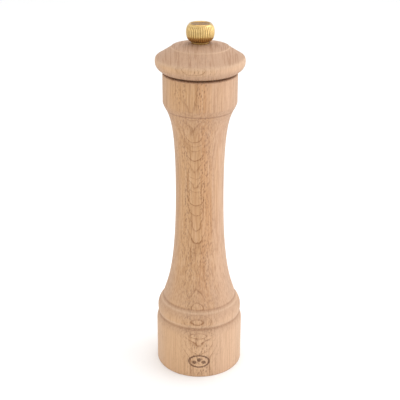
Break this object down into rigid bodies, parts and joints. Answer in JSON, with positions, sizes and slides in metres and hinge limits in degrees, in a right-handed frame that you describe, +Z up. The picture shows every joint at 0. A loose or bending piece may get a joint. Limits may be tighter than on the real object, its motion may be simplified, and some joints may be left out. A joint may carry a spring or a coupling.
{
  "type": "pepper mill",
  "caption": "Turned wooden pepper mill with a waisted barrel, rotating mushroom head, fluted brass adjusting knob and a steel grinding mechanism in its base.",
  "frame": {"origin": "centre of the mill's foot, on the surface that it stands on", "axes": "+Z up along the mill's axis, towards the knob; the mill is round, and the side called its front faces -Y"},
  "size_m": [0.0544, 0.0544, 0.22],
  "materials": {
    "beech": "turned beech, fine-sanded, thin matt wax finish",
    "brass": "bright turned brass, lightly handled",
    "bright_steel": "cold-rolled sheet and drawn bar",
    "hard_steel": "case-hardened, dark grey",
    "spring_steel": "hard-drawn wire and strip",
    "zinc_steel": "zinc plated"
  },
  "bodies": {
    "barrel": {"barrel": "beech", "grinding_ring": "hard_steel", "base_plate": "bright_steel", "bearing_bridge": "bright_steel", "bridge_rivet_left": "zinc_steel", "bridge_rivet_right": "zinc_steel", "base_plate_screw_1": "zinc_steel", "base_plate_screw_2": "zinc_steel", "base_plate_screw_3": "zinc_steel"},
    "drive": {"upper_spring_washer": "zinc_steel", "setting_spring": "spring_steel"},
    "spindle": {"spindle": "bright_steel", "grinding_nut": "hard_steel", "nut_clip": "spring_steel", "lower_spring_washer": "zinc_steel"},
    "head": {"head": "beech", "drive_plate": "bright_steel", "drive_plate_screw_1": "zinc_steel", "drive_plate_screw_2": "zinc_steel", "drive_plate_screw_3": "zinc_steel"},
    "knob": {"knob": "brass"}
  },
  "joints": [
    {"name": "head_turn", "type": "hinge", "parent": "barrel", "child": "drive", "pos_m": [0, 0, 0.1915], "axis": [0, 0, 1], "continuous": true},
    {"name": "grind_setting", "type": "slide", "parent": "drive", "child": "spindle", "axis": [0, 0, 1], "range_m": [-0.0016, 0], "deforming": ["setting_spring"]},
    {"name": "head_lift", "type": "slide", "parent": "drive", "child": "head", "axis": [0, 0, 1], "range_m": [0, 0.06]},
    {"name": "knob_turn", "type": "hinge", "parent": "head", "child": "knob", "pos_m": [0, 0, 0.209], "axis": [0, 0, 1], "range_deg": [0, 720]}
  ],
  "couplings": [
    {"joint": "grind_setting", "follows": "knob_turn", "m_per_rad": -0.0001273}
  ]
}
